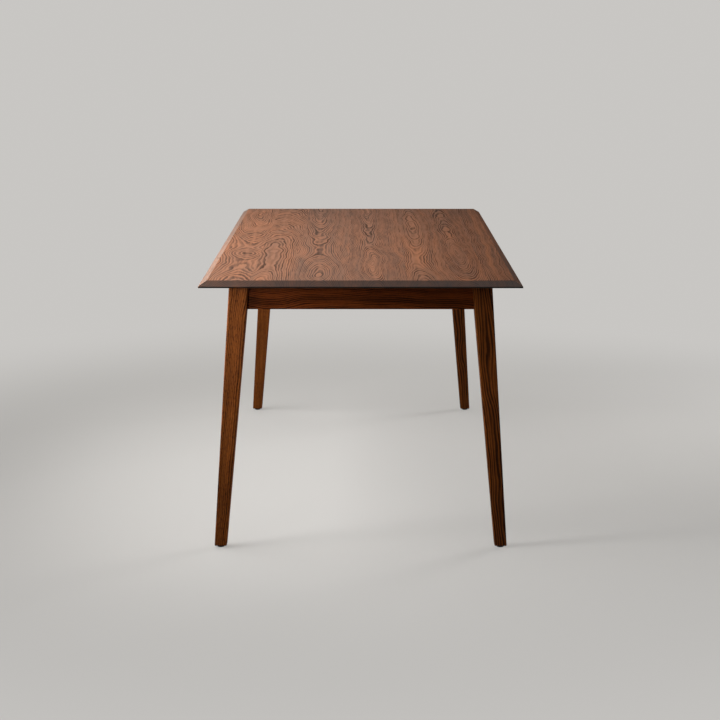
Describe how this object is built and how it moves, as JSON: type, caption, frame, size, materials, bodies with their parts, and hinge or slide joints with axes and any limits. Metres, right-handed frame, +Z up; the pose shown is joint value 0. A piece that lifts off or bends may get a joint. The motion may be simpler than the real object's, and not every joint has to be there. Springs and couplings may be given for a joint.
{
  "type": "dining table",
  "caption": "Rectangular solid-wood dining table: thin edge-glued top with a wide bevelled edge, on tapered legs that splay outwards, bolted to a recessed apron frame.",
  "frame": {"origin": "on the floor below the middle of the top", "axes": "+X across the table to the right as seen from its front end, +Y along the table to its rear end, +Z up"},
  "size_m": [0.88, 1.8, 0.76],
  "materials": {
    "top_wood": "brown stain under a satin lacquer, open grain",
    "leg_wood": "brown stain under a satin lacquer, straight grain",
    "apron_wood": "brown stain under a satin lacquer, straight grain",
    "inner_wood": "planed, unstained",
    "zinc_steel": "zinc plated",
    "glide_plastic": "black nylon"
  },
  "bodies": {
    "root": {"top_board_1": "top_wood", "top_board_2": "top_wood", "top_board_3": "top_wood", "top_board_4": "top_wood", "top_board_5": "top_wood", "top_board_6": "top_wood", "top_board_7": "top_wood", "leg_front_left": "leg_wood", "leg_front_right": "leg_wood", "leg_rear_left": "leg_wood", "leg_rear_right": "leg_wood", "end_apron_front": "apron_wood", "end_apron_rear": "apron_wood", "side_apron_left": "apron_wood", "side_apron_right": "apron_wood", "cross_rail_front": "inner_wood", "cross_rail_rear": "inner_wood", "corner_block_front_left": "inner_wood", "corner_block_front_right": "inner_wood", "corner_block_rear_left": "inner_wood", "corner_block_rear_right": "inner_wood", "hanger_bolts": "zinc_steel", "bolt_washers": "zinc_steel", "bolt_nuts": "zinc_steel", "block_screws": "zinc_steel", "top_clips": "zinc_steel", "clip_screws": "zinc_steel", "rail_screws": "zinc_steel", "glide_front_left": "glide_plastic", "glide_front_right": "glide_plastic", "glide_rear_left": "glide_plastic", "glide_rear_right": "glide_plastic", "glide_nails": "zinc_steel"}
  },
  "joints": []
}
